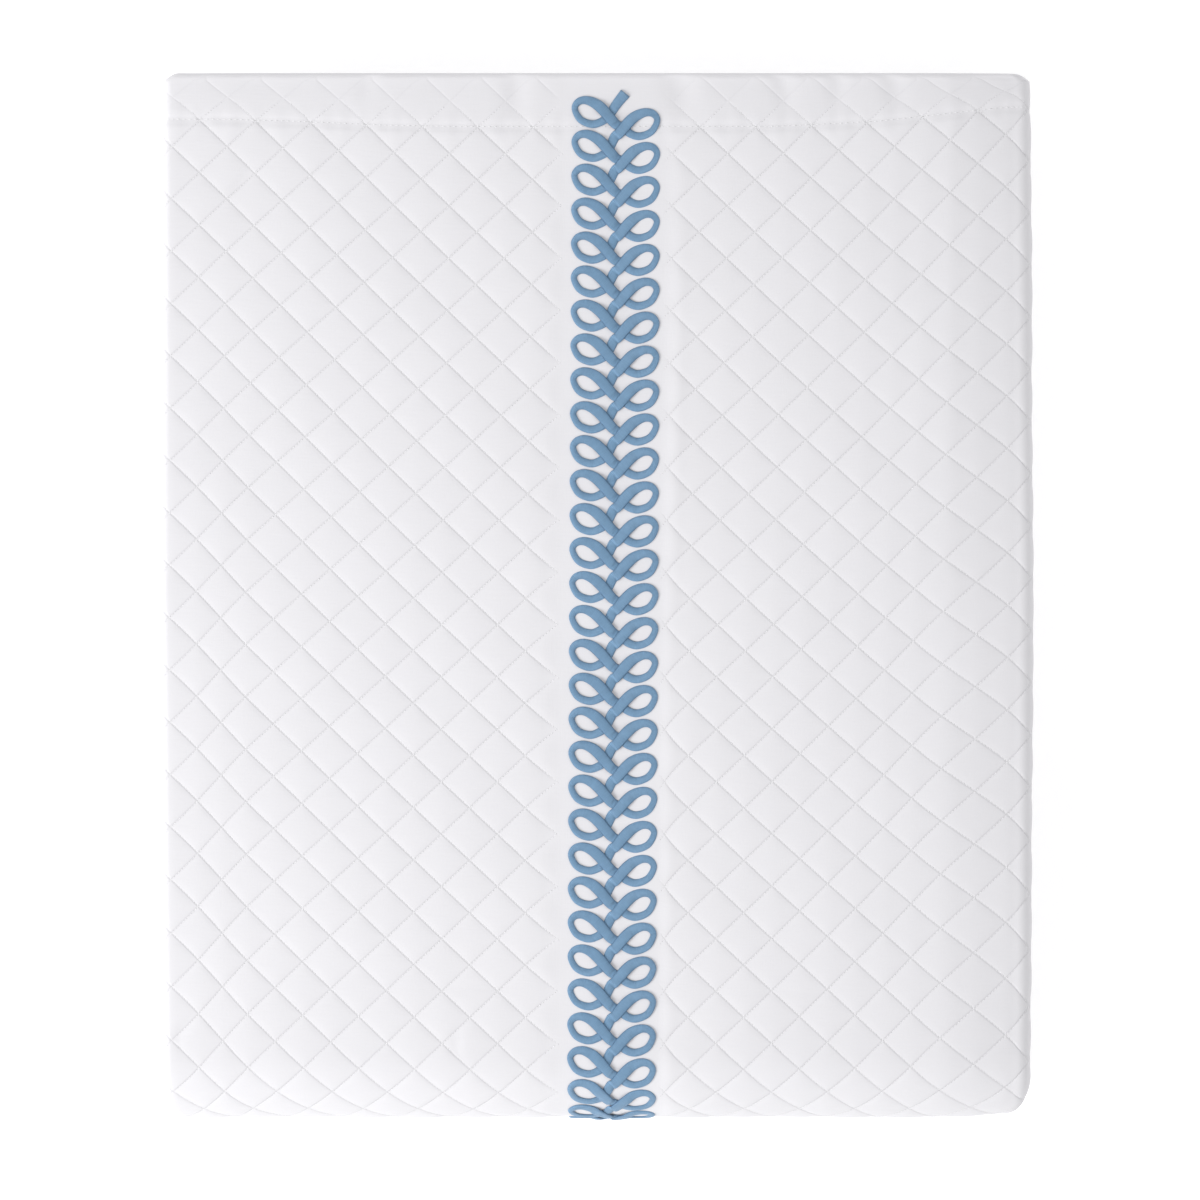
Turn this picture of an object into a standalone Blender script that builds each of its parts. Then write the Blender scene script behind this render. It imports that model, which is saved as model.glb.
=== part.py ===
"""A quilted cotton coverlet, folded in four across and in four along, with a looped-cord border.

The cloth is one sheet. It is first laid out flat as a thin slab, with a line at each crossing of
the quilting and at each fold, and then every point is carried to its place in the pile. The folds
are drawn as two lines of runs and turns: ACROSS is the section seen from the front, and ALONG is
the section seen from the right, where each layer is a whole folded bundle of ACROSS.

The pile stands on the XY plane. +X is to the right, +Y is towards the hemmed end, +Z is up.
"""

import math
from typing import NamedTuple

import bmesh
import bpy
from mathutils import Vector

MM = 0.001

# Cloth and its layers
SHEET = 3.6 * MM
GAP = 0.6 * MM
LAYER = SHEET + GAP
BUNDLE = 4 * LAYER
PILE_HEIGHT = 4 * BUNDLE - GAP
PILE_MIDDLE = PILE_HEIGHT / 2

# Outline of the pile
LEFT_FOLD = -211.0 * MM
RIGHT_FOLD = 206.4 * MM
INNER_RIGHT_FOLD = 204.8 * MM
HEM_END = 260.0 * MM
FRONT_FOLD = -226.7 * MM
BACK_FOLD = 241.0 * MM
HALF_LENGTH = 260.0 * MM
BELLY = 1.6 * MM
CORNER_INSET = 4.0 * MM

# Hem and the settling of the top towards its edges
HEM_DEPTH = 26.6 * MM
HEM_SAG = 1.4 * MM
SHOULDER_START = 174.5 * MM
SHOULDER_SAG = 2.0 * MM
HEM_GROOVE = 0.5 * MM
EDGE_ROUND = 2.0 * MM
EDGE_FILL = 0.5

# Quilting: half the diagonals of a diamond, and the rise of its middle
COLUMN_STEP = 13.75 * MM
ROW_STEP = 12.96 * MM
FIRST_COLUMN = -210.5 * MM
FIRST_ROW = 40.0 * MM
PUFF = 1.4 * MM
HEM_PUFF_SHARE = 0.6
TOP_ROWS = 43
ALL_ROWS = 158
HIDDEN_ROW_STRIDE = 3
SHORTEST_CELL = 2.5 * MM
BUNDLE_TURN_STEP = math.radians(23)
LAYER_TURN_STEP = math.radians(62)

# The plain strip that carries the border
STRIP_MIDDLE = 8.0 * MM
STRIP_HALF = 26.0 * MM
STRIP_FADE = 8.0 * MM

# Embroidered border
BORDER_START = 9.0 * MM
BORDER_DRIFT = -2.5 * MM
LOOP_STEP = 16.8 * MM
LOOP_COUNT = 33
FIRST_LOOP = 12.0 * MM
RIGHT_LOOP_LAG = 6.05 * MM
STRAND_RISE = 0.8 * MM
STRAND_CREST = 0.55
SECTION_POINTS = 4
CROSSING_LIFT = 1.3 * MM
BORDER_CLEARANCE = 0.4 * MM


class Run(NamedTuple):
    """A flat stretch of a folded line: its height in layers from the middle, the way its face
    looks (1 up, -1 down), where it starts and ends, and how far the pile is shifted there."""

    name: str
    level: float
    face: int
    start: float
    end: float
    shift: float = 0.0


# From one side hem to the other: the lowest quarter, the top quarter, and the two between them
ACROSS = (
    Run("lowest", -1.5, -1, -206.5 * MM, RIGHT_FOLD),
    Run("top", 1.5, 1, RIGHT_FOLD, LEFT_FOLD),
    Run("second", 0.5, -1, LEFT_FOLD, INNER_RIGHT_FOLD),
    Run("third", -0.5, 1, INNER_RIGHT_FOLD, -210.0 * MM),
)

# From one end hem to the other, each run being a bundle of the four layers above
ALONG = (
    Run("top", 1.5, 1, HEM_END, FRONT_FOLD),
    Run("lowest", -1.5, -1, FRONT_FOLD, BACK_FOLD, 1.2 * MM),
    Run("third", -0.5, 1, BACK_FOLD, FRONT_FOLD, -0.8 * MM),
    Run("second", 0.5, -1, FRONT_FOLD, 255.0 * MM, 0.9 * MM),
)


class Dent(NamedTuple):
    """A shallow dip in the top by the hem: its place across, half width, depth and reach."""

    place: float
    half_width: float
    depth: float
    reach: float


HEM_DENTS = (
    Dent(-114.0 * MM, 9.0 * MM, 0.5 * MM, 16.0 * MM),
    Dent(-40.5 * MM, 11.0 * MM, 1.1 * MM, 24.0 * MM),
    Dent(41.0 * MM, 12.0 * MM, 1.2 * MM, 22.0 * MM),
    Dent(92.0 * MM, 9.0 * MM, 1.0 * MM, 20.0 * MM),
    Dent(119.0 * MM, 8.0 * MM, 0.9 * MM, 18.0 * MM),
    Dent(147.0 * MM, 10.0 * MM, 1.1 * MM, 20.0 * MM),
)


class Knot(NamedTuple):
    """A point of one loop of the cord: across from the border's middle, along from the loop's
    top, the cord's width there, and 1 where it passes over itself."""

    across: float
    along: float
    width: float
    over: float


LOOP = (
    Knot(-3.7 * MM, 9.5 * MM, 4.6 * MM, 0),
    Knot(-7.6 * MM, 12.6 * MM, 4.0 * MM, 0),
    Knot(-12.1 * MM, 13.6 * MM, 3.9 * MM, 0),
    Knot(-17.6 * MM, 11.1 * MM, 3.6 * MM, 0),
    Knot(-20.4 * MM, 5.9 * MM, 3.2 * MM, 0),
    Knot(-18.5 * MM, 2.3 * MM, 3.7 * MM, 0),
    Knot(-13.9 * MM, 1.7 * MM, 4.4 * MM, 0),
    Knot(-6.6 * MM, 6.3 * MM, 5.5 * MM, 1),
    Knot(-1.6 * MM, 12.1 * MM, 5.2 * MM, 1),
    Knot(0.6 * MM, 14.0 * MM, 5.0 * MM, 0),
)
TAIL = (
    Knot(4.6 * MM, -1.8 * MM, 5.6 * MM, 0),
    Knot(0.6 * MM, 3.2 * MM, 5.0 * MM, 0),
)


class Station(NamedTuple):
    """A place on a folded line: where it is, which way its face looks, how far along the face it
    lies, the sine of the turn there, the shift of the pile and the name of its run."""

    place: float
    height: float
    out_place: float
    out_height: float
    travel: float
    bend: float
    shift: float
    name: str


class Flat:
    """A run as a piece of the line, starting at a given travel along the face."""

    def __init__(self, run, spacing, travel):
        self.run = run
        self.height = run.level * spacing
        self.travel = travel
        self.length = abs(run.end - run.start)
        self.way = math.copysign(1.0, run.end - run.start)

    def at(self, travel):
        place = self.run.start + self.way * (travel - self.travel)
        return Station(place, self.height, 0.0, float(self.run.face), travel, 0.0, self.run.shift, self.run.name)

    def travel_at(self, place):
        return self.travel + (place - self.run.start) * self.way


class Turn:
    """The half circle between two runs. The face is on its outside or on its inside."""

    def __init__(self, before, after, spacing, half_thickness, travel):
        self.before, self.after = before, after
        self.centre = (before.level + after.level) / 2 * spacing
        self.radius = abs(after.level - before.level) / 2 * spacing
        self.way = math.copysign(1.0, before.end - before.start)
        self.side = math.copysign(1.0, before.level - after.level)
        self.outward = self.side * before.face
        self.face_radius = self.radius + self.outward * half_thickness
        self.travel = travel
        self.length = math.pi * self.face_radius

    def at(self, travel):
        angle = (travel - self.travel) / self.face_radius
        sine, cosine = math.sin(angle), math.cos(angle)
        share = angle / math.pi
        return Station(
            self.before.end + self.way * self.radius * sine,
            self.centre + self.side * self.radius * cosine,
            self.outward * self.way * sine,
            self.outward * self.side * cosine,
            travel,
            sine,
            self.before.shift * (1 - share) + self.after.shift * share,
            f"{self.before.name} to {self.after.name}",
        )


class FoldedLine:
    """The runs and the turns between them, in order, with the lines that the cloth is cut into."""

    def __init__(self, runs, spacing, half_thickness):
        self.pieces = []
        travel = 0.0
        for number, run in enumerate(runs):
            self.pieces.append(Flat(run, spacing, travel))
            travel += self.pieces[-1].length
            if number + 1 < len(runs):
                self.pieces.append(Turn(run, runs[number + 1], spacing, half_thickness, travel))
                travel += self.pieces[-1].length
        self.length = travel

    def piece(self, travel):
        return next(p for p in reversed(self.pieces) if travel >= p.travel or p is self.pieces[0])

    def at(self, travel):
        return self.piece(travel).at(travel)

    def stations(self, marks, breaks, turn_step):
        """A station at each mark and each break that lies on a run, at the ends of every piece,
        and close enough together on the turns."""
        found = []
        for piece in self.pieces:
            start, end = piece.travel, piece.travel + piece.length
            kept = [start, end]
            if isinstance(piece, Flat):
                kept += [t for t in map(piece.travel_at, breaks) if start < t < end]
            if piece is self.pieces[0]:
                kept.append(start + EDGE_ROUND)
            if piece is self.pieces[-1]:
                kept.append(end - EDGE_ROUND)
            for mark in marks:
                if start < mark < end and min(abs(mark - t) for t in kept) > SHORTEST_CELL:
                    kept.append(mark)
            kept.sort()
            if isinstance(piece, Turn):
                kept = subdivided(kept, turn_step * piece.face_radius)
            found += [piece.at(t) for t in kept[:-1]]
        found.append(self.pieces[-1].at(self.length))
        return found


def subdivided(values, longest):
    finer = []
    for low, high in zip(values, values[1:]):
        count = math.ceil((high - low) / longest - 1e-6)
        finer += [low + (high - low) * n / count for n in range(count)]
    return finer + values[-1:]


def ramp(value, low, high):
    return min(max((value - low) / (high - low), 0.0), 1.0)


def settled(x, y, z, along):
    """The pile's outline: it bellies out at mid length, its corners are drawn in, and its top
    sinks a little towards the right shoulder and the hem."""
    narrowing = CORNER_INSET * along.bend**8
    if along.name == "top":
        narrowing += CORNER_INSET * ramp(HEM_END - along.place, EDGE_ROUND * 2, 0.0)
    sag = SHOULDER_SAG * ramp(x, SHOULDER_START, RIGHT_FOLD) + HEM_SAG * ramp(along.place, HEM_END - HEM_DEPTH, HEM_END)
    belly = BELLY * (1 - abs(along.place) / HALF_LENGTH) - narrowing
    sideways = along.shift + belly * max(-1.0, min(1.0, x / SHOULDER_START))
    return Vector((x + sideways, y, z * (1 - sag / PILE_HEIGHT)))


def folded(x, height, along):
    """A point of the folded bundle, at a height above its middle, carried onto the pile."""
    y = along.place + height * along.out_place
    z = PILE_MIDDLE + along.height + height * along.out_height
    return settled(x, y, z, along)


def diamond(column, row):
    """The rise of the quilting, 0 on a stitched line and 1 at the middle of a diamond."""
    rise = 1.0
    for diagonal in ((column + row) / 2, (column - row) / 2):
        part = diagonal - math.floor(diagonal)
        rise *= 4 * part * (1 - part)
    return math.sqrt(rise)


def exposure(across, along):
    """How far a place on the face is open to view: 1 on the top and the sides, 0 inside the pile
    and underneath, where the cloth lies flat."""
    side = 0.0
    if across.name in ("lowest to top", "top to second"):
        side = abs(across.out_place)
    top = 0.0
    if across.name == "top" or side > 0:
        if along.name == "top":
            top = 1.0
        elif along.name == "top to lowest":
            top = ramp(along.out_height, -1.0, -0.5)
        elif along.name == "lowest to third":
            top = along.out_place**2
    if across.name != "top":
        top *= max(across.out_height, side)
    return max(side, top)


def relief(across, along):
    """The height of the face over the plain sheet: puffed diamonds, the hem's stitched groove and
    the dents by the hem. The border's strip stays plain."""
    seen = exposure(across, along)
    if seen < 0.01:
        return 0.0
    column = (across.travel - COLUMN_ORIGIN) / COLUMN_STEP
    row = (along.travel - FIRST_ROW) / ROW_STEP
    uneven = 0.9 + 0.12 * math.sin(1.7 * column + 0.6) * math.cos(1.3 * row)
    rise = PUFF * uneven * diamond(column, row) * seen
    if across.name != "top":
        return rise
    rise *= ramp(abs(across.place - STRIP_MIDDLE), STRIP_HALF, STRIP_HALF + STRIP_FADE)
    if along.name == "top" and along.travel < HEM_DEPTH + SHORTEST_CELL:
        rise *= HEM_PUFF_SHARE * ramp(along.travel, 0.0, EDGE_ROUND * 2)
        if abs(along.travel - HEM_DEPTH) < SHORTEST_CELL:
            rise = -HEM_GROOVE
        for dent in HEM_DENTS:
            near = ramp(abs(across.place - dent.place), dent.half_width, 0.0)
            rise -= dent.depth * near * ramp(along.travel, dent.reach, 0.0)
    return rise


def fullness(station, length):
    """The share of the sheet's thickness at a station, less at the rounded ends."""
    return EDGE_FILL if min(station.travel, length - station.travel) < EDGE_ROUND / 2 else 1.0


def make_coverlet():
    """The sheet, laid out flat as a slab and then folded."""
    across = ACROSS_LINE.stations(
        [COLUMN_ORIGIN + COLUMN_STEP * n for n in range(-1, 34)], [SHOULDER_START], LAYER_TURN_STEP
    )
    fine_rows = [FIRST_ROW + ROW_STEP * n for n in range(-3, TOP_ROWS)]
    coarse_rows = [FIRST_ROW + ROW_STEP * n for n in range(TOP_ROWS, ALL_ROWS, HIDDEN_ROW_STRIDE)]
    along = ALONG_LINE.stations(fine_rows + coarse_rows, [HEM_END - HEM_DEPTH, 0.0], BUNDLE_TURN_STEP)
    sheet = bmesh.new()
    cells = (len(across) - 1, len(along) - 1)
    bmesh.ops.create_grid(sheet, x_segments=cells[0], y_segments=cells[1], size=0.5)
    bmesh.ops.solidify(sheet, geom=sheet.faces[:], thickness=1.0)
    lowest = min(vertex.co.z for vertex in sheet.verts)
    rises = sheet.verts.layers.float.new("relief")
    for vertex in sheet.verts:
        column = across[round((vertex.co.x + 0.5) * cells[0])]
        row = along[round((vertex.co.y + 0.5) * cells[1])]
        half = SHEET / 2 * min(fullness(column, ACROSS_LINE.length), fullness(row, ALONG_LINE.length))
        on_face = vertex.co.z > lowest + 0.5
        vertex[rises] = relief(column, row) if on_face else 0.0
        depth = half + vertex[rises] if on_face else -half
        x = column.place + depth * column.out_place
        vertex.co = folded(x, column.height + depth * column.out_height, row)
    sheet.normal_update()
    for face in sheet.faces[:]:
        heights = [vertex[rises] for vertex in face.verts]
        if len(heights) == 4 and any(heights):
            first = 0 if heights[0] + heights[2] <= heights[1] + heights[3] else 1
            bmesh.utils.face_split(face, face.verts[first], face.verts[first + 2])
    bmesh.ops.dissolve_limit(
        sheet, angle_limit=0.001, use_dissolve_boundaries=False, verts=sheet.verts[:], edges=sheet.edges[:]
    )
    bmesh.ops.recalc_face_normals(sheet, faces=sheet.faces[:])
    return finished("coverlet", sheet, cotton())


def border_route():
    """The cord's knots down the flat border: its tail, then loops to the left and right in turn."""
    knots = [(knot, FIRST_LOOP, 1) for knot in TAIL]
    for number in range(LOOP_COUNT):
        top = FIRST_LOOP + LOOP_STEP * number
        knots += [(knot, top, 1) for knot in LOOP]
        knots += [(knot, top + RIGHT_LOOP_LAG, -1) for knot in LOOP]
    for knot, top, side in knots:
        travel = top + knot.along
        middle = BORDER_START + BORDER_DRIFT * travel / (2 * HALF_LENGTH)
        yield middle + side * knot.across, travel, knot.over * CROSSING_LIFT, knot.width


def cord_section():
    """The cord's cross section, one unit wide and one unit high, flat below."""
    curve = bpy.data.curves.new("cord_section", "CURVE")
    outline = curve.splines.new("POLY")
    corners = ((-0.5, 0.0), (0.5, 0.0), (STRAND_CREST / 2, 1.0), (-STRAND_CREST / 2, 1.0))
    outline.points.add(SECTION_POINTS - 1)
    for point, (across, up) in zip(outline.points, corners):
        point.co = (across, up, 0.0, 1.0)
    outline.use_cyclic_u = True
    section = bpy.data.objects.new("cord_section", curve)
    section.hide_render = True
    section.display_type = "WIRE"
    collection("guides").objects.link(section)
    return section


def flat_cord(knots):
    """The cord drawn as a curve on the flat cloth, a section at each knot, with its ends closed."""
    curve = bpy.data.curves.new("flat_cord", "CURVE")
    curve.dimensions = "3D"
    curve.twist_mode = "Z_UP"
    curve.bevel_mode = "OBJECT"
    curve.bevel_object = cord_section()
    line = curve.splines.new("POLY")
    line.points.add(len(knots) - 1)
    for point, (x, travel, _lift, width) in zip(line.points, knots):
        point.co = (x, travel, 0.0, 1.0)
        point.radius = width
    cord = bpy.data.objects.new("flat_cord", curve)
    collection("guides").objects.link(cord)
    bpy.context.view_layer.update()
    mesh = bmesh.new()
    mesh.from_mesh(bpy.data.meshes.new_from_object(cord.evaluated_get(bpy.context.evaluated_depsgraph_get())))
    bpy.data.objects.remove(cord, do_unlink=True)
    bmesh.ops.holes_fill(mesh, edges=[edge for edge in mesh.edges if edge.is_boundary])
    return mesh


def make_border():
    """The cord as one raised ribbon, drawn flat, lifted where it passes over itself, and folded
    with the cloth. Its section is drawn as high as it is wide, and is brought to its own height."""
    knots = list(border_route())
    cord = flat_cord(knots)
    surface = 1.5 * LAYER + SHEET / 2 + BORDER_CLEARANCE
    cord.verts.ensure_lookup_table()
    for number, vertex in enumerate(cord.verts):
        _x, _travel, lift, width = knots[number // SECTION_POINTS]
        height = lift + vertex.co.z / width * STRAND_RISE
        vertex.co = folded(vertex.co.x, surface + height, ALONG_LINE.at(vertex.co.y))
    if cord.calc_volume(signed=True) < 0:
        bmesh.ops.reverse_faces(cord, faces=cord.faces[:])
    return finished("loop_border", cord, thread())


def finished(name, mesh, material):
    data = bpy.data.meshes.new(name)
    mesh.to_mesh(data)
    mesh.free()
    data.materials.append(material)
    part = bpy.data.objects.new(name, data)
    collection("folded_coverlet").objects.link(part)
    return part


def collection(name):
    found = bpy.data.collections.get(name)
    if found is None:
        found = bpy.data.collections.new(name)
        bpy.context.scene.collection.children.link(found)
    return found


def cloth_material(name, colour, roughness):
    made = bpy.data.materials.new(name)
    made.use_nodes = True
    shader = made.node_tree.nodes["Principled BSDF"]
    shader.inputs["Base Color"].default_value = (*colour, 1.0)
    shader.inputs["Roughness"].default_value = roughness
    shader.inputs["Metallic"].default_value = 0.0
    made.diffuse_color = (*colour, 1.0)
    return made


def cotton():
    return cloth_material("white_cotton", (0.83, 0.83, 0.85), 0.9)


def thread():
    return cloth_material("blue_thread", (0.20, 0.37, 0.56), 0.55)


def clear_scene():
    for thing in list(bpy.data.objects):
        bpy.data.objects.remove(thing, do_unlink=True)


ACROSS_LINE = FoldedLine(ACROSS, LAYER, SHEET / 2)
ALONG_LINE = FoldedLine(ALONG, BUNDLE, (BUNDLE - GAP) / 2)
TOP_QUARTER = next(p for p in ACROSS_LINE.pieces if isinstance(p, Flat) and p.run.name == "top")
COLUMN_ORIGIN = TOP_QUARTER.travel_at(FIRST_COLUMN) - 30 * COLUMN_STEP


def main():
    clear_scene()
    make_coverlet()
    make_border()


if __name__ == "__main__":
    main()
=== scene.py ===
"""Looks of the folded quilted coverlet: its fine folded cloth, the embroidered border, the quilting
and hem threads, and a pale studio stage. Lengths are in metres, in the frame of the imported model.
"""

import math
from typing import NamedTuple

import bmesh
import bpy
import numpy as np
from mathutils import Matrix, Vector


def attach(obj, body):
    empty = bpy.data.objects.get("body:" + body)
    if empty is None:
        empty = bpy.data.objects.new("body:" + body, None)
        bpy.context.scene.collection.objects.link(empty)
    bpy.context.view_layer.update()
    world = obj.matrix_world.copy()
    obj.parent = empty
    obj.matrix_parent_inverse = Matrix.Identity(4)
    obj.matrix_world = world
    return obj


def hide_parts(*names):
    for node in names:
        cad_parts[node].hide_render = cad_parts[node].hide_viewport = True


bl_info = {
    "name": "Folded Quilted Coverlet",
    "version": (1, 0, 0),
    "blender": (4, 5, 0),
    "location": "3D View > Sidebar > Coverlet",
    "description": "Dresses a folded quilted coverlet with its cloth, border, threads and stage",
    "category": "Object",
}

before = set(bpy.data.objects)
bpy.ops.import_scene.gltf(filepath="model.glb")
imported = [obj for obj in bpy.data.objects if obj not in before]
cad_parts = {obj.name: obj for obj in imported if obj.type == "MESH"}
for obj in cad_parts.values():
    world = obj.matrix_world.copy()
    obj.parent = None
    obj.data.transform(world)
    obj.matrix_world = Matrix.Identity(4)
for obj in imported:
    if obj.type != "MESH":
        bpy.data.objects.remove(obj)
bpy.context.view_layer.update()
MM = 0.001
BODY = "root"

# Cloth and its layers, as in the solids
SHEET = 3.6 * MM
GAP = 0.6 * MM
LAYER = SHEET + GAP
BUNDLE = 4 * LAYER
PILE_HEIGHT = 4 * BUNDLE - GAP
TOP_FACE = 1.5 * LAYER + SHEET / 2

# Outline of the pile
LEFT_FOLD = -211.0 * MM
RIGHT_FOLD = 206.4 * MM
INNER_RIGHT_FOLD = 204.8 * MM
HEM_END = 260.0 * MM
FRONT_FOLD = -226.7 * MM
BACK_FOLD = 241.0 * MM
HALF_LENGTH = 260.0 * MM
BELLY = 1.6 * MM
CORNER_INSET = 4.0 * MM
EDGE_INSET = 4.0 * MM
HEM_DEPTH = 26.6 * MM
HEM_SAG = 1.4 * MM
SHOULDER_START = 174.5 * MM
SHOULDER_SAG = 2.0 * MM

# Lattice of the quilting: half the diagonals of a diamond
COLUMN_STEP = 13.75 * MM
ROW_STEP = 12.96 * MM
FIRST_COLUMN = -210.5 * MM
FIRST_ROW = 40.0 * MM
HEM_ROW = (HEM_DEPTH - FIRST_ROW) / ROW_STEP
LINE_SPACING = 2 / math.hypot(1 / COLUMN_STEP, 1 / ROW_STEP)
LINE_WIDTH = 0.5 * MM
STITCH_SHARE = 0.74
# Cells between two lattice lines where the cloth shows and where it is hidden
FINE = 6
HIDDEN_FINE = 2
SHORTEST_CELL = 0.7 * MM
TURN_STEP = math.radians(14)

# Relief of the cloth: its swell, the rolled shoulder, the seam's groove and puckers, the hem's edge
SWELL = 0.16 * MM
SHOULDER_ROLL = 1.6 * MM
ROLL_START = 168.0 * MM
SEAM_WIDTH = 1.6 * MM
SEAM_DEPTH = 0.55 * MM
PUCKER_REACH = 6.0 * MM
PUCKER_RISE = 0.16 * MM
PUCKER_LENGTH = 1.5 * MM
HEM_ROLL = 0.3 * MM
HEM_SHARE = 0.45

# The plain strip that carries the border
STRIP_MIDDLE = 8.0 * MM
STRIP_HALF = 24.0 * MM
STRIP_FADE = 10.0 * MM

# Embroidered border
BORDER_START = 9.0 * MM
BORDER_DRIFT = -2.5 * MM
LOOP_STEP = 16.8 * MM
LOOP_COUNT = 33
FIRST_LOOP = 12.0 * MM
RIGHT_LOOP_LAG = 6.05 * MM


class Run(NamedTuple):
    """A flat stretch of a folded line: its height in layers from the middle, the way its face
    looks (1 up, -1 down), where it starts and ends, and how far the pile is shifted there."""

    name: str
    level: float
    face: int
    start: float
    end: float
    shift: float = 0.0


ACROSS = (
    Run("lowest", -1.5, -1, -206.5 * MM, RIGHT_FOLD),
    Run("top", 1.5, 1, RIGHT_FOLD, LEFT_FOLD),
    Run("second", 0.5, -1, LEFT_FOLD, INNER_RIGHT_FOLD),
    Run("third", -0.5, 1, INNER_RIGHT_FOLD, -210.0 * MM),
)
ALONG = (
    Run("top", 1.5, 1, HEM_END, FRONT_FOLD),
    Run("lowest", -1.5, -1, FRONT_FOLD, BACK_FOLD, 1.2 * MM),
    Run("third", -0.5, 1, BACK_FOLD, FRONT_FOLD, -0.8 * MM),
    Run("second", 0.5, -1, FRONT_FOLD, 255.0 * MM, 0.9 * MM),
)
# Rounding of the free edges: how far in from the edge, and the share of the thickness there
EDGE_TRAVEL = (0.0, 0.3 * MM, 0.9 * MM, 1.8 * MM)
EDGE_FILL = (0.3, 0.62, 0.87, 1.0)


class Crease(NamedTuple):
    """A soft trough or ridge in the top: its place across and along from the hem's edge, its half
    length and half width, its rise (below 0 for a trough) and its turn from the way along."""

    across: float
    along: float
    half_length: float
    half_width: float
    rise: float
    turn: float


CREASES = (
    Crease(-40.5 * MM, 9 * MM, 15 * MM, 6.0 * MM, -1.2 * MM, 4),
    Crease(41.0 * MM, 8 * MM, 15 * MM, 7.0 * MM, -1.3 * MM, -12),
    Crease(92.0 * MM, 6 * MM, 13 * MM, 5.0 * MM, -1.0 * MM, -8),
    Crease(119.0 * MM, 6 * MM, 12 * MM, 4.5 * MM, -0.9 * MM, 6),
    Crease(147.0 * MM, 8 * MM, 14 * MM, 5.5 * MM, -1.1 * MM, -5),
    Crease(-114.0 * MM, 6 * MM, 8 * MM, 4.0 * MM, -0.7 * MM, 20),
    Crease(-176.0 * MM, 57 * MM, 9 * MM, 2.0 * MM, -0.6 * MM, 48),
    Crease(42.0 * MM, 160 * MM, 90 * MM, 3.5 * MM, 0.35 * MM, 0),
    Crease(-58.0 * MM, 453 * MM, 14 * MM, 1.8 * MM, -0.45 * MM, 84),
    Crease(94.0 * MM, 455 * MM, 12 * MM, 1.8 * MM, -0.45 * MM, 88),
    Crease(-66.0 * MM, 482 * MM, 8 * MM, 1.8 * MM, -0.5 * MM, 3),
    Crease(-208.0 * MM, 479 * MM, 9 * MM, 2.5 * MM, -0.6 * MM, 40),
)


# How far the columns lean, and the travels over which pull and lean grow and fade
LEFT_DRIFT = -3.8 * MM
RIGHT_DRIFT = -6.0 * MM
DRIFT_GROWTH = (20 * MM, 330 * MM)
DRIFT_FADE = (590 * MM, 500 * MM)
PULL_FADE = (560 * MM, 380 * MM)


class Pull(NamedTuple):
    """How far the quilting is pulled towards the hem at a place across."""

    across: float
    towards_hem: float


PULLS = (
    Pull(-215 * MM, 3.6 * MM),
    Pull(-183 * MM, 3.5 * MM),
    Pull(-150 * MM, 2.6 * MM),
    Pull(-104 * MM, 0.6 * MM),
    Pull(-70 * MM, 0.0 * MM),
    Pull(86 * MM, 0.0 * MM),
    Pull(112 * MM, 1.2 * MM),
    Pull(139 * MM, 2.6 * MM),
    Pull(168 * MM, 5.8 * MM),
    Pull(200 * MM, 9.6 * MM),
    Pull(215 * MM, 10.2 * MM),
)


class Knot(NamedTuple):
    """A point of one loop of the cord: across from the border's middle, along from the loop's
    top, the cord's width there, and 1 where it passes over itself."""

    across: float
    along: float
    width: float
    over: float


LOOP = (
    Knot(-3.7 * MM, 9.5 * MM, 4.5 * MM, 0),
    Knot(-7.6 * MM, 12.5 * MM, 4.0 * MM, 0),
    Knot(-12.1 * MM, 13.5 * MM, 3.9 * MM, 0),
    Knot(-17.6 * MM, 11.2 * MM, 3.5 * MM, 0),
    Knot(-20.4 * MM, 5.9 * MM, 3.1 * MM, 0),
    Knot(-18.7 * MM, 2.5 * MM, 3.6 * MM, 0),
    Knot(-14.9 * MM, 1.6 * MM, 4.2 * MM, 0),
    Knot(-10.4 * MM, 3.2 * MM, 5.2 * MM, 0.2),
    Knot(-6.6 * MM, 6.3 * MM, 5.6 * MM, 1),
    Knot(-1.6 * MM, 12.1 * MM, 5.3 * MM, 1),
    Knot(0.6 * MM, 14.0 * MM, 5.0 * MM, 0),
)
TAIL = (
    Knot(4.6 * MM, -1.8 * MM, 5.6 * MM, 0),
    Knot(0.6 * MM, 3.2 * MM, 5.0 * MM, 0),
)


class Line(NamedTuple):
    """Places on a folded line, as arrays: where each is, which way its face looks, how far along
    the face it lies, the sine of the turn there, the shift of the pile, and its piece's number."""

    place: np.ndarray
    height: np.ndarray
    out_place: np.ndarray
    out_height: np.ndarray
    travel: np.ndarray
    bend: np.ndarray
    shift: np.ndarray
    piece: np.ndarray

    def shaped(self, *shape):
        return Line(*(values.reshape(shape) for values in self))


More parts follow.
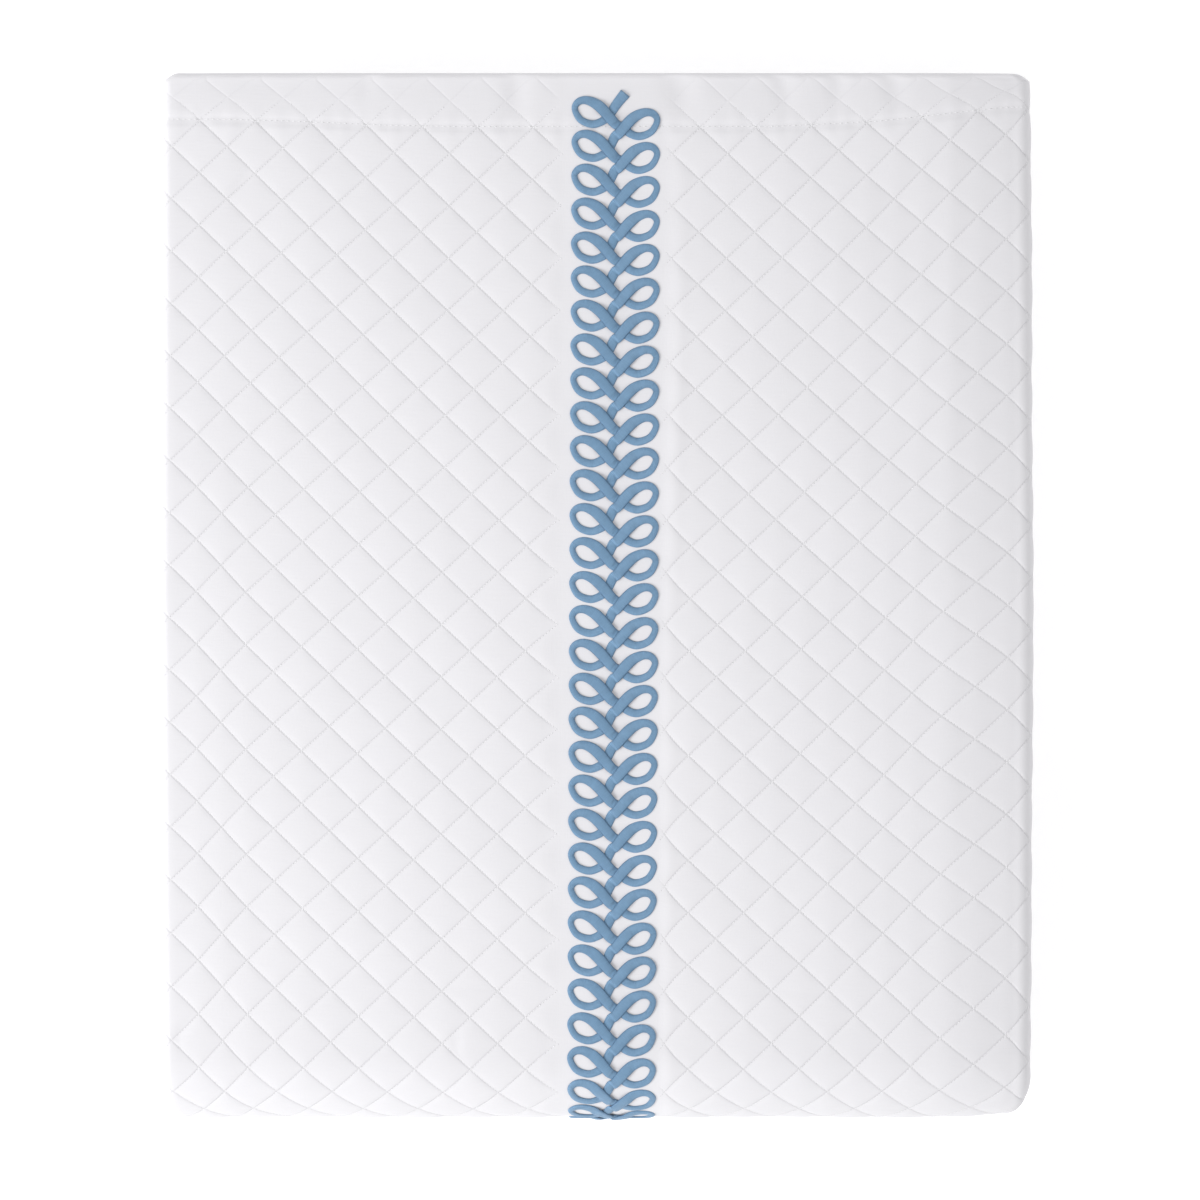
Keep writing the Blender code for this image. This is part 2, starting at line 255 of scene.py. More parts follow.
class FoldedLine:
    """The runs, and the half circles between them, measured along the face."""

    def __init__(self, runs, spacing, half_thickness):
        self.runs = runs
        self.spacing = spacing
        self.radii = []
        self.outward = []
        self.starts = [0.0]
        for before, after in zip(runs, runs[1:]):
            outward = math.copysign(1.0, before.level - after.level) * before.face
            radius = abs(after.level - before.level) / 2 * spacing
            self.outward.append(outward)
            self.radii.append((radius, radius + outward * half_thickness))
            self.starts.append(self.starts[-1] + abs(before.end - before.start))
            self.starts.append(self.starts[-1] + math.pi * self.radii[-1][1])
        self.length = self.starts[-1] + abs(runs[-1].end - runs[-1].start)
        self.ends = self.starts[1:] + [self.length]

    def at(self, travel):
        travel = np.atleast_1d(np.asarray(travel, float))
        last = len(self.starts) - 1
        piece = np.clip(np.searchsorted(self.starts, travel + 1e-9, side="right") - 1, 0, last)
        columns = [np.zeros(len(travel)) for _ in range(6)]
        for number in range(len(self.starts)):
            here = piece == number
            find = self.on_turn if number % 2 else self.on_run
            for column, values in zip(columns, find(number // 2, travel[here])):
                column[here] = values
        place, height, out_place, out_height, bend, shift = columns
        return Line(place, height, out_place, out_height, travel, bend, shift, piece)

    def on_run(self, number, travel):
        run = self.runs[number]
        way = math.copysign(1.0, run.end - run.start)
        place = run.start + way * (travel - self.starts[2 * number])
        return place, run.level * self.spacing, 0.0, float(run.face), 0.0, run.shift

    def on_turn(self, number, travel):
        before, after = self.runs[number : number + 2]
        radius, face_radius = self.radii[number]
        way = math.copysign(1.0, before.end - before.start)
        side = math.copysign(1.0, before.level - after.level)
        angle = (travel - self.starts[2 * number + 1]) / face_radius
        share = angle / math.pi
        centre = (before.level + after.level) / 2 * self.spacing
        outward = self.outward[number]
        return (
            before.end + way * radius * np.sin(angle),
            centre + side * radius * np.cos(angle),
            outward * way * np.sin(angle),
            outward * side * np.cos(angle),
            np.sin(angle),
            before.shift * (1 - share) + after.shift * share,
        )

    def travel_at(self, number, place):
        """The travel of a place on a run."""
        run = self.runs[number]
        return self.starts[2 * number] + (place - run.start) * math.copysign(1.0, run.end - run.start)

    def cuts(self, marks, breaks, turn_step):
        """Where the cloth is cut into cells, and which cuts part it into flat blocks: the ends of
        each piece, the breaks, the rounding of the free edges, and every cut of a turn. The marks
        that are not too near to those only cut it finer."""
        found, parting = [], []
        for number, (start, end) in enumerate(zip(self.starts, self.ends)):
            fixed = [start, end]
            if number % 2 == 0:
                places = [self.travel_at(number // 2, place) for place in breaks]
                fixed += [place for place in places if start < place < end]
            if number == 0:
                fixed += EDGE_TRAVEL[1:]
            if number == len(self.starts) - 1:
                fixed += [end - step for step in EDGE_TRAVEL[1:]]
            inside = [mark for mark in marks if start < mark < end]
            kept = fixed + [mark for mark in inside if min(abs(mark - cut) for cut in fixed) > SHORTEST_CELL]
            kept.sort()
            if number % 2:
                longest = turn_step * self.radii[number // 2][1]
                kept = [
                    low + (high - low) * part / count
                    for low, high in zip(kept, kept[1:])
                    for count in [math.ceil((high - low) / longest - 1e-6)]
                    for part in range(count)
                ] + [end]
            found += kept[:-1]
            parting += [number % 2 == 1 or cut in fixed for cut in kept[:-1]]
        return np.array(found + [self.length]), np.flatnonzero(parting + [True])

    @property
    def cloth_length(self):
        """The flat length of the cloth, along the middle of its thickness."""
        flats = sum(abs(run.end - run.start) for run in self.runs)
        return flats + math.pi * sum(radius for radius, _face_radius in self.radii)


ACROSS_LINE = FoldedLine(ACROSS, LAYER, SHEET / 2)
ALONG_LINE = FoldedLine(ALONG, BUNDLE, (BUNDLE - GAP) / 2)
# Numbers of the pieces: runs are even, and each turn follows its run
LOWEST_TO_TOP, TOP_QUARTER, TOP_TO_SECOND = 1, 2, 3
TOP_BUNDLE, FRONT_WRAP, BACK_WRAP = 0, 1, 3
COLUMN_ORIGIN = ACROSS_LINE.travel_at(1, FIRST_COLUMN) - 30 * COLUMN_STEP


def ramp(value, low, high):
    return np.clip((value - low) / (high - low), 0.0, 1.0)


def smooth(value, low, high):
    share = ramp(value, low, high)
    return share * share * (3 - 2 * share)


def settled(x, y, z, along):
    """The pile's outline: it bellies out at mid length, its corners are drawn in, and its top
    sinks a little towards the right shoulder and the hem."""
    narrowing = CORNER_INSET * along.bend**8
    at_hem = (along.piece == TOP_BUNDLE) * ramp(HEM_END - along.place, EDGE_INSET, 0.0)
    narrowing = narrowing + CORNER_INSET * at_hem
    sag = SHOULDER_SAG * ramp(x, SHOULDER_START, RIGHT_FOLD)
    sag = sag + HEM_SAG * ramp(along.place, HEM_END - HEM_DEPTH, HEM_END)
    belly = BELLY * (1 - np.abs(along.place) / HALF_LENGTH) - narrowing
    sideways = along.shift + belly * np.clip(x / SHOULDER_START, -1, 1)
    return np.stack(np.broadcast_arrays(x + sideways, y, z * (1 - sag / PILE_HEIGHT)), axis=-1)


def folded(x, height, along, slip=0.0):
    """Points of the folded bundle, at a height above its middle, carried onto the pile. A slip
    moves them along the cloth."""
    y = along.place + height * along.out_place + slip * along.out_height
    z = PILE_HEIGHT / 2 + along.height + height * along.out_height - slip * along.out_place
    return settled(x, y, z, along)


def lattice(across, along):
    """Columns and rows of the quilting, whole numbers at its crossings and diamond middles."""
    return (across.travel - COLUMN_ORIGIN) / COLUMN_STEP, (along.travel - FIRST_ROW) / ROW_STEP


def exposure(across, along):
    """How far a place on the face is open to view: 1 on the top and the sides, 0 inside the pile
    and underneath, where the cloth lies flat."""
    turned = (across.piece == LOWEST_TO_TOP) | (across.piece == TOP_TO_SECOND)
    side = np.abs(across.out_place) * turned
    top = np.where(along.piece == TOP_BUNDLE, 1.0, 0.0)
    top = np.where(along.piece == FRONT_WRAP, ramp(along.out_height, -1.0, -0.5), top)
    top = np.where(along.piece == BACK_WRAP, along.out_place**2, top)
    on_top = across.piece == TOP_QUARTER
    top = top * np.where(on_top, 1.0, np.where(turned, np.maximum(across.out_height, side), 0.0))
    return np.maximum(side, top)


def scatter(first, second, seed):
    """A steady pseudo-random number from 0 to 1 for each pair of whole numbers."""
    value = np.sin(first * 12.9898 + second * 78.233 + seed * 37.719) * 43758.5453
    return value - np.floor(value)


def pull(across, along):
    """The cloth's pull towards the hem, which fades at the hem itself, at the front fold and round
    the side folds."""
    most = np.interp(across.place, [row.across for row in PULLS], [row.towards_hem for row in PULLS])
    fade = smooth(along.travel, 0.0, HEM_DEPTH) * smooth(along.travel, *PULL_FADE)
    turned = (across.piece == LOWEST_TO_TOP) | (across.piece == TOP_TO_SECOND)
    round_sides = turned * smooth(across.out_height, -0.9, 0.3)
    return most * fade * np.where(across.piece == TOP_QUARTER, 1.0, round_sides)


def drift(across, along):
    """How far the columns lean to the left down the top."""
    most = np.where(across.place > STRIP_MIDDLE, RIGHT_DRIFT, LEFT_DRIFT)
    sides = smooth(np.abs(across.place), 205 * MM, 165 * MM)
    sides = sides * smooth(np.abs(across.place - STRIP_MIDDLE), 10 * MM, 40 * MM)
    down = smooth(along.travel, *DRIFT_GROWTH) * smooth(along.travel, *DRIFT_FADE)
    return most * sides * down * (across.piece == TOP_QUARTER)


def quilting_share(across, along):
    """1 where the cloth is quilted, less in the hem, and 0 beside the border."""
    strip = smooth(np.abs(across.place - STRIP_MIDDLE), STRIP_HALF, STRIP_HALF + STRIP_FADE)
    hem = (along.piece == TOP_BUNDLE) & (along.travel < HEM_DEPTH)
    share = np.where(hem, HEM_SHARE, 1.0) * smooth(along.travel, 0, 4 * MM)
    return share * np.where(across.piece == TOP_QUARTER, strip, 1.0)


def relief(across, along, puff):
    """The height of the face over the plain sheet."""
    column, row = lattice(across, along)
    seen = exposure(across, along)
    first, second = (column + row) / 2, (column - row) / 2
    cells = np.floor(first + 1e-6), np.floor(second + 1e-6)
    parts = first - cells[0], second - cells[1]
    dome = np.clip(16 * parts[0] * (1 - parts[0]) * parts[1] * (1 - parts[1]), 0, 1) ** 0.55
    ridge = (0.1 + 0.3 * smooth(across.place, 0, 200 * MM)) * scatter(*cells, 2)
    crown = 1 - ridge * np.abs(parts[0] + parts[1] - 1)
    rise = puff * (0.8 + 0.3 * scatter(*cells, 1)) * dome * crown
    rise = rise * quilting_share(across, along)
    on_hem = along.piece == TOP_BUNDLE
    seam = bell(along.travel, HEM_DEPTH, SEAM_WIDTH) * on_hem
    rise = rise * (1 - seam) - SEAM_DEPTH * seam
    pucker = bell(along.travel, HEM_DEPTH, PUCKER_REACH) * on_hem
    wander = 2.1 * np.sin(across.place / (17 * MM)) + 1.3 * np.sin(across.place / (41 * MM))
    rise = rise + PUCKER_RISE * pucker * np.sin(across.place / PUCKER_LENGTH + wander)
    rise = rise + HEM_ROLL * bell(along.travel, 1.5 * MM, 2.2 * MM) * on_hem
    on_top = across.piece == TOP_QUARTER
    return (rise + creases(across, along) * on_top + swell(across, along)) * seen


def bell(value, middle, width):
    """1 at the middle, falling off to 0 on both sides."""
    return np.exp(-(((value - middle) / width) ** 2))


def swell(across, along):
    """Wide, soft unevenness of the cloth, and the roll of its right shoulder."""
    a, b = across.travel / MM, along.travel / MM
    waves = np.sin(a / 31 + 1.3) * np.sin(b / 43)
    waves = waves + 0.7 * np.sin(a / 19 - b / 27 + 2) + 0.5 * np.sin(a / 13 + b / 17)
    roll = -SHOULDER_ROLL * ramp(across.place, ROLL_START, RIGHT_FOLD) ** 2
    over_side = np.clip(across.out_height, 0, 1)
    roll = roll * np.where(across.piece == LOWEST_TO_TOP, over_side, across.piece == TOP_QUARTER)
    return SWELL * waves * smooth(along.travel, 0, 20 * MM) + roll


def creases(across, along):
    """The troughs and ridges that were pressed or pulled into the top."""
    rise = 0.0
    for crease in CREASES:
        turn = math.radians(crease.turn)
        side, down = across.place - crease.across, along.travel - crease.along
        over = side * math.cos(turn) + down * math.sin(turn)
        far = down * math.cos(turn) - side * math.sin(turn)
        rise = rise + crease.rise * bell(over, 0, crease.half_width) * bell(far, 0, crease.half_length)
    return rise * (along.piece == TOP_BUNDLE)


def face_points(across, along, puff, above=0.0):
    """The cloth's face with its relief, or points a little above it."""
    fill = np.minimum(fullness(across, ACROSS_LINE), fullness(along, ALONG_LINE))
    depth = SHEET / 2 * fill + relief(across, along, puff) * (fill == 1) + above
    slip = pull(across, along)
    x = across.place + depth * across.out_place + drift(across, along)
    points = folded(x, across.height + depth * across.out_height, along, slip)
    points[..., 2] = np.maximum(points[..., 2], 0.0)
    return points


def back_points(across, along):
    fill = np.minimum(fullness(across, ACROSS_LINE), fullness(along, ALONG_LINE))
    depth = -SHEET / 2 * fill
    return folded(across.place + depth * across.out_place, across.height + depth * across.out_height, along)


def fullness(line, whole):
    """The share of the sheet's thickness, less at the rounded free edges."""
    return np.interp(np.minimum(line.travel, whole.length - line.travel), EDGE_TRAVEL, EDGE_FILL)


def cloth_faces(corner, shown, slopes_up, column_parts, row_parts):
    """Faces over a grid of corners: triangles that follow the stitching where the cloth is shown,
    and one face to each flat block elsewhere, with no corners between two such blocks."""
    spans = list(enumerate(zip(column_parts, column_parts[1:])))
    rows = list(enumerate(zip(row_parts, row_parts[1:])))
    hidden = {(i, j) for i, (a, b) in spans for j, (c, d) in rows if not shown[a:b, c:d].any()}
    fine = np.ones(shown.shape, bool)
    faces = []
    for i, (low, high) in spans:
        for j, (near, far) in rows:
            if (i, j) not in hidden:
                continue
            fine[low:high, near:far] = False
            sides = {
                (i, j - 1): corner[low:high, near],
                (i + 1, j): corner[high, near:far],
                (i, j + 1): corner[high:low:-1, far],
                (i - 1, j): corner[low, far:near:-1],
            }
            outline = [side[:1] if beside in hidden else side for beside, side in sides.items()]
            faces.append(np.concatenate(outline).tolist())
    quads = np.stack([corner[:-1, :-1], corner[1:, :-1], corner[1:, 1:], corner[:-1, 1:]], axis=-1)[fine]
    turned = np.where(slopes_up[fine][:, None], quads, np.roll(quads, -1, axis=1))
    return faces + turned[:, [0, 1, 2]].tolist() + turned[:, [0, 2, 3]].tolist()


def make_mesh(name, points, faces, attributes=()):
    mesh = bpy.data.meshes.new(name)
    mesh.from_pydata(points.reshape(-1, 3).tolist(), [], faces)
    for label, values in attributes:
        layer = mesh.attributes.new(label, "FLOAT_VECTOR", "POINT")
        layer.data.foreach_set("vector", np.ascontiguousarray(values, np.float32).ravel())
    mesh.shade_smooth()
    return mesh


def add_piece(name, mesh, material, node=None):
    piece = bpy.data.objects.new(name, mesh)
    piece.data.materials.append(material)
    bpy.context.scene.collection.objects.link(piece)
    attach(piece, BODY)
    if node:
        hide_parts(node)
    return piece


# Shader expressions


class Value:
    """A shader socket that can be used in Python arithmetic: each operator adds its Math node."""

    def __init__(self, material, socket):
        self.material, self.socket = material, socket

    def math(self, operation, *others):
        sockets = dict(enumerate((self, *others)))
        return self.material.node("ShaderNodeMath", {"operation": operation}, sockets)

    def __add__(self, other):
        return self.math("ADD", other)

    def __sub__(self, other):
        return self.math("SUBTRACT", other)

    def __mul__(self, other):
        return self.math("MULTIPLY", other)

    def __rsub__(self, other):
        return self * -1 + other

    __radd__ = __add__
    __rmul__ = __mul__


class Finish:
    """A procedural material of one Principled shader, built node by node."""

    def __init__(self, name, roughness, **constants):
        self.made = bpy.data.materials.new(name)
        self.made.use_nodes = True
        self.tree = self.made.node_tree
        self.shader = self.tree.nodes["Principled BSDF"]
        self.shader.inputs["Roughness"].default_value = roughness
        for socket, value in constants.items():
            self.shader.inputs[socket.replace("_", " ")].default_value = value

    def node(self, kind, settings=None, sockets=None, output=0):
        made = self.tree.nodes.new(kind)
        for name, value in (settings or {}).items():
            setattr(made, name, value)
        for name, value in (sockets or {}).items():
            if isinstance(value, Value):
                self.tree.links.new(value.socket, made.inputs[name])
            else:
                made.inputs[name].default_value = value
        return Value(self, made.outputs[output])

    def attribute(self, name):
        """The three parts of a stored vector."""
        vector = self.node("ShaderNodeAttribute", {"attribute_name": name}, output="Vector")
        split = self.node("ShaderNodeSeparateXYZ", None, {0: vector})
        node = split.socket.node
        return vector, [Value(self, node.outputs[axis]) for axis in range(3)]

    def noise(self, vector, scale, detail=2.0, rough=0.5):
        sockets = {"Vector": vector, "Scale": scale, "Detail": detail, "Roughness": rough}
        return self.node("ShaderNodeTexNoise", None, sockets, "Fac")

    def stretched(self, vector, x, y):
        return self.node("ShaderNodeVectorMath", {"operation": "MULTIPLY"}, {0: vector, 1: (x, y, 1.0)})

    def mix(self, factor, first, second):
        settings = {"data_type": "RGBA", "clamp_factor": True}
        return self.node("ShaderNodeMix", settings, {0: factor, 6: (*first, 1.0), 7: (*second, 1.0)}, 2)

    def line(self, count):
        """1 along each line where the count is whole, falling off to 0 beside it."""
        away = count.math("PINGPONG", 0.5) * (LINE_SPACING / LINE_WIDTH)
        return (away * away * -1).math("EXPONENT")

    def bump(self, height, strength, distance, below=None):
        sockets = {"Height": height, "Strength": strength, "Distance": distance}
        if below:
            sockets["Normal"] = below
        return self.node("ShaderNodeBump", None, sockets, "Normal")

    def feed(self, name, value):
        self.tree.links.new(value.socket, self.shader.inputs[name])


def cotton_finish(settings):
    """White quilted sateen: a fine weave with slubs, softer in the stitched lines, with painted shade that
    darkens the stitched lines.
    """
    cloth = Finish("quilted_cotton", 0.82, Sheen_Weight=0.15, Sheen_Roughness=0.5)
    place, (across, along, quilted) = cloth.attribute("cloth")
    column = (across - COLUMN_ORIGIN) * (0.5 / COLUMN_STEP)
    row = (along - FIRST_ROW) * (0.5 / ROW_STEP)
    groove = cloth.line(column + row).math("MAXIMUM", cloth.line(column - row)) * quilted
    warp = cloth.noise(cloth.stretched(place, 2600.0, 160.0), 1.0, 1.0)
    weft = cloth.noise(cloth.stretched(place, 160.0, 2600.0), 1.0, 1.0)
    slub = cloth.noise(cloth.stretched(place, 90.0, 700.0), 1.0, 2.0)
    weave = warp * 0.5 + weft * 0.5
    mottle = cloth.noise(place, 38.0, 3.0)
    colour = tuple(settings.cotton)
    shade = tuple(value * 0.94 for value in colour)
    # The stitched lines are painted darker (groove * 0.25): painted shade in the quilting's grooves, laid
    # over the weave's own uneven tone.
    cloth.feed("Base Color", cloth.mix(weave * 0.5 + mottle * 0.5 - groove * 0.25 + 0.1, shade, colour))
    cloth.feed("Roughness", slub * 0.12 + 0.78)
    fine = cloth.bump(weave, 0.5, 0.00014)
    slubbed = cloth.bump(slub, 0.3, 0.00025, fine)
    cloth.feed("Normal", cloth.bump(0 - groove, 0.6, 0.0004, slubbed))
    return cloth.made


def cord_finish(settings):
    """Satin-stitched thread: fine threads laid straight across the cord."""
    cord = Finish("satin_thread", 0.5, Sheen_Weight=0.1)
    _place, (run, side, lift) = cord.attribute("thread")
    wave = (run * (2 * math.pi / settings.thread_pitch)).math("SINE")
    picks = cord.node("ShaderNodeCombineXYZ", None, {0: run * 2400.0, 1: side * 0.6})
    uneven = cord.noise(picks, 1.0, 2.0)
    patches = cord.noise(cord.node("ShaderNodeCombineXYZ", None, {0: run * 220.0, 1: side * 1.3}), 1.0, 2.0)
    # Painted shade: the cord is painted darker towards its sloping sides, and a painted shadow darkens the
    # cord's edges where it passes over itself.
    edge = side * side
    rim = edge * edge * edge * edge
    light = uneven * 0.8 + patches * 0.35 + wave * 0.12 - edge * 0.1 - rim * lift * 0.8 + 0.12
    cord.feed("Base Color", cord.mix(light, tuple(settings.dark_thread), tuple(settings.light_thread)))
    cord.feed("Roughness", uneven * 0.2 + 0.42)
    cord.feed("Normal", cord.bump(wave * 0.5 + uneven, 0.9, 0.0003))
    return cord.made


def thread_finish(settings):
    """White sewing thread, a little glossier than the cloth."""
    thread = Finish("sewing_thread", 0.55)
    place = thread.node("ShaderNodeNewGeometry", None, None, "Position")
    twist = thread.noise(place, 1800.0, 1.0)
    colour = tuple(settings.thread)
    thread.feed("Base Color", thread.mix(twist, tuple(value * 0.94 for value in colour), colour))
    thread.feed("Normal", thread.bump(twist, 0.4, 0.0002))
    return thread.made


def floor_finish(settings):
    floor = Finish("pale_floor", 0.9)
    place = floor.node("ShaderNodeNewGeometry", None, None, "Position")
    grain = floor.noise(place, 6.0, 2.0)
    colour = tuple(settings.floor)
    floor.feed("Base Color", floor.mix(grain, tuple(value * 0.995 for value in colour), colour))
    floor.shader.inputs["Emission Color"].default_value = (1, 1, 1, 1)
    floor.shader.inputs["Emission Strength"].default_value = settings.floor_glow
    return floor.made


# The pieces


def cloth_grid():
    """The lines across and along that the cloth is cut into, fine where it shows."""
    columns = COLUMN_ORIGIN + COLUMN_STEP / FINE * np.arange(-3 * FINE, 34 * FINE)
    across, column_parts = ACROSS_LINE.cuts(columns, [SHOULDER_START], TURN_STEP)
    shown_end = ALONG_LINE.ends[FRONT_WRAP]
    rows = FIRST_ROW + ROW_STEP / FINE * np.arange(-4 * FINE, 44 * FINE)
    hidden = FIRST_ROW + ROW_STEP / HIDDEN_FINE * np.arange(HIDDEN_FINE * 44, HIDDEN_FINE * 170)
    back = FIRST_ROW + ROW_STEP / FINE * np.arange(76 * FINE, 88 * FINE)
    back = back[(back > ALONG_LINE.starts[BACK_WRAP]) & (back < ALONG_LINE.ends[BACK_WRAP])]
    marks = np.concatenate([rows[rows < shown_end], hidden[hidden > shown_end], back])
    breaks = [HEM_END - EDGE_INSET, HEM_END - HEM_DEPTH, 0.0]
    along, row_parts = ALONG_LINE.cuts(sorted(marks), breaks, TURN_STEP)
    return across, column_parts, along, row_parts


def make_sheet(settings):
    """The folded cloth as one closed mesh."""
    across_cuts, column_parts, along_cuts, row_parts = cloth_grid()
    across = ACROSS_LINE.at(across_cuts).shaped(-1, 1)
    along = ALONG_LINE.at(along_cuts).shaped(1, -1)
    face = face_points(across, along, settings.puff)
    back = back_points(across, along)
    seen = exposure(across, along) > 0.01
    shown = seen[:-1, :-1] | seen[1:, 1:] | seen[1:, :-1] | seen[:-1, 1:]
    column, row = lattice(across, along)
    total = (column[:-1] + column[1:] + row[:, :-1] + row[:, 1:]) / 4
    difference = (column[:-1] + column[1:] - row[:, :-1] - row[:, 1:]) / 4
    slopes_up = np.abs(total - np.round(total)) > np.abs(difference - np.round(difference))
    grid = np.arange(seen.size).reshape(seen.shape)
    under = grid + seen.size
    faces = cloth_faces(grid, shown, slopes_up, column_parts, row_parts)
    blocks = cloth_faces(under, np.zeros(shown.shape, bool), slopes_up, column_parts, row_parts)
    faces += [block[::-1] for block in blocks]
    for line in (grid[0, :], grid[:, -1], grid[-1, ::-1], grid[::-1, 0]):
        below = line + seen.size
        faces += np.stack([line[:-1], line[1:], below[1:], below[:-1]], axis=-1).tolist()
    quilted = quilting_share(across, along)
    cloth = np.stack(np.broadcast_arrays(across.travel, along.travel, quilted), axis=-1).reshape(-1, 3)
    points = np.concatenate([face.reshape(-1, 3), back.reshape(-1, 3)])
    used = np.unique(np.concatenate([np.array(face) for face in faces]))
    number = np.zeros(len(points), int)
    number[used] = np.arange(len(used))
    faces = [number[face].tolist() for face in faces]
    cloth = np.concatenate([cloth, cloth])[used]
    mesh = make_mesh("coverlet_sheet", points[used], faces, [("cloth", cloth)])
    return add_piece("coverlet_sheet", mesh, cotton_finish(settings), "coverlet")


def border_knots():
    """The cord's knots on the flat cloth, as rows of x, travel, width and lift."""
    rows = [(knot, FIRST_LOOP, 1) for knot in TAIL]
    for number in range(LOOP_COUNT):
        top = FIRST_LOOP + LOOP_STEP * number
        rows += [(knot, top, 1) for knot in LOOP]
        rows += [(knot, top + RIGHT_LOOP_LAG, -1) for knot in LOOP]
    found = []
    for knot, top, side in rows:
        travel = top + knot.along
        middle = BORDER_START + BORDER_DRIFT * travel / (2 * HALF_LENGTH)
        found.append((middle + side * knot.across, travel, knot.width, knot.over))
    return np.array(found)


def rounded_path(knots, parts):
    """A smooth line through the knots, with a number of parts between each two."""
    padded = np.concatenate([2 * knots[:1] - knots[1:2], knots, 2 * knots[-1:] - knots[-2:-1]])
    share = (np.arange(parts) / parts)[None, :, None]
    a, b, c, d = (padded[start : len(padded) - 3 + start][:, None, :] for start in range(4))
    line = 0.5 * (
        2 * b + (c - a) * share + (2 * a - 5 * b + 4 * c - d) * share**2 + (3 * b - a - 3 * c + d) * share**3
    )
    return np.concatenate([line.reshape(-1, knots.shape[1]), knots[-1:]])


def make_border(settings):
    """The embroidered cord: a domed ribbon that follows the loops and crosses over itself."""
    line = rounded_path(border_knots(), settings.cord_parts)
    line[:, 3] = smooth(line[:, 3], 0.0, 1.0)
    way = np.gradient(line[:, :2], axis=0)
    steps = np.linalg.norm(way, axis=1)
    way /= steps[:, None]
    side = np.stack([way[:, 1], -way[:, 0]], axis=1)
    run = np.concatenate([[0], np.cumsum(np.linalg.norm(np.diff(line[:, :2], axis=0), axis=1))])
    turns = np.linspace(0, math.pi, settings.cord_sides)
    outline = [(-math.cos(turn), math.sin(turn) ** 0.7) for turn in turns]
    shares = np.array([share for share, _up in outline] + [0.55, -0.55])
    ups = np.array([up for _share, up in outline] + [0.0, 0.0])
    flat = line[:, None, :2] + side[:, None, :] * (line[:, 2] / 2)[:, None, None] * shares[None, :, None]
    height = settings.cord_rise * ups[None, :] + (settings.cord_lift * line[:, 3])[:, None]
    along = ALONG_LINE.at(flat[..., 1].ravel()).shaped(*flat.shape[:2])
    surface = TOP_FACE + settings.cord_seat
    points = folded(flat[..., 0], surface + height, along)
    rings, sides = points.shape[:2]
    corner = np.arange(rings)[:, None] * sides + np.arange(sides)[None, :]
    following = np.roll(corner, -1, axis=1)
    quads = np.stack([corner[:-1], corner[1:], following[1:], following[:-1]], axis=-1).reshape(-1, 4)
    faces = quads.tolist() + [corner[0].tolist(), corner[-1][::-1].tolist()]
    thread = np.stack(np.broadcast_arrays(run[:, None], shares[None, :], line[:, 3][:, None]), axis=-1)
    mesh = make_mesh("border_cord", points, faces, [("thread", thread.reshape(-1, 3))])
    face_out(mesh)
    return add_piece("border_cord", mesh, cord_finish(settings), "loop_border")


def face_out(mesh):
    work = bmesh.new()
    work.from_mesh(mesh)
    if work.calc_volume(signed=True) < 0:
        bmesh.ops.reverse_faces(work, faces=work.faces[:])
    work.to_mesh(mesh)
    work.free()


class Surface:
    """The finished face of the cloth, read at any column and row of the quilting."""

    def __init__(self, puff):
        self.puff = puff

    def at(self, column, row, above):
        across = ACROSS_LINE.at(COLUMN_ORIGIN + column * COLUMN_STEP)
        along = ALONG_LINE.at(FIRST_ROW + row * ROW_STEP)
        return face_points(across, along, self.puff, above)


def stitches(surface, starts, ends, width, rise):
    """A lens of thread from each start to each end, given as columns and rows of the quilting."""
    first, last = surface.at(*starts, rise * 0.3), surface.at(*ends, rise * 0.3)
    middle = surface.at((starts[0] + ends[0]) / 2, (starts[1] + ends[1]) / 2, rise)
    under = surface.at((starts[0] + ends[0]) / 2, (starts[1] + ends[1]) / 2, -rise)
    way = last - first
    way /= np.linalg.norm(way, axis=1)[:, None]
    up = middle - under
    up /= np.linalg.norm(up, axis=1)[:, None]
    side = np.cross(up, way) * width / 2
    heart = (middle + under) / 2
    points = np.stack([first, heart + side, middle, heart - side, under, last], axis=1)
    base = 6 * np.arange(len(first))[:, None, None]
    ring = (1, 2, 3, 4)
    pattern = [(0, ring[k - 1], ring[k]) for k in range(4)] + [(5, ring[k], ring[k - 1]) for k in range(4)]
    return points.reshape(-1, 3), (base + np.array(pattern)[None]).reshape(-1, 3).tolist()


def make_quilting(settings):
    """The running stitches along the diamonds, on the top, the front fold and the side folds."""
    low = math.ceil((ACROSS_LINE.starts[1] + 4 * MM - COLUMN_ORIGIN) / COLUMN_STEP)
    high = (ACROSS_LINE.ends[3] - 2 * MM - COLUMN_ORIGIN) / COLUMN_STEP
    last_row = (ALONG_LINE.starts[FRONT_WRAP] + 90 * MM - FIRST_ROW) / ROW_STEP
    first_row = (17 * MM - FIRST_ROW) / ROW_STEP
    diagonal = math.hypot(COLUMN_STEP, ROW_STEP)
    step = settings.quilt_stitch / diagonal
    starts, ends = [], []
    for slant in (1, -1):
        for number in range(-60, 90, 2):
            row = np.arange(first_row, last_row, step)
            column = number + slant * row
            jitter = 0.08 * (scatter(np.arange(len(row)), number, slant) - 0.5)
            on_cloth = (column > low) & (column < high) & (column + slant * step < high)
            starts.append(np.stack([column, row + jitter * step])[:, on_cloth])
            length = step * STITCH_SHARE
            ends.append(np.stack([column + slant * length, row + length + jitter * step])[:, on_cloth])
    starts, ends = np.concatenate(starts, axis=1), np.concatenate(ends, axis=1)
    place = ACROSS_LINE.at(COLUMN_ORIGIN + starts[0] * COLUMN_STEP).place
    clear = np.abs(place - STRIP_MIDDLE) > STRIP_HALF + 2 * MM
    surface = Surface(settings.puff)
    starts, ends = starts[:, clear], ends[:, clear]
    points, faces = stitches(surface, starts, ends, settings.thread_width, settings.thread_rise)
    mesh = make_mesh("quilting_thread", points, faces)
    return add_piece("quilting_thread", mesh, thread_finish(settings))


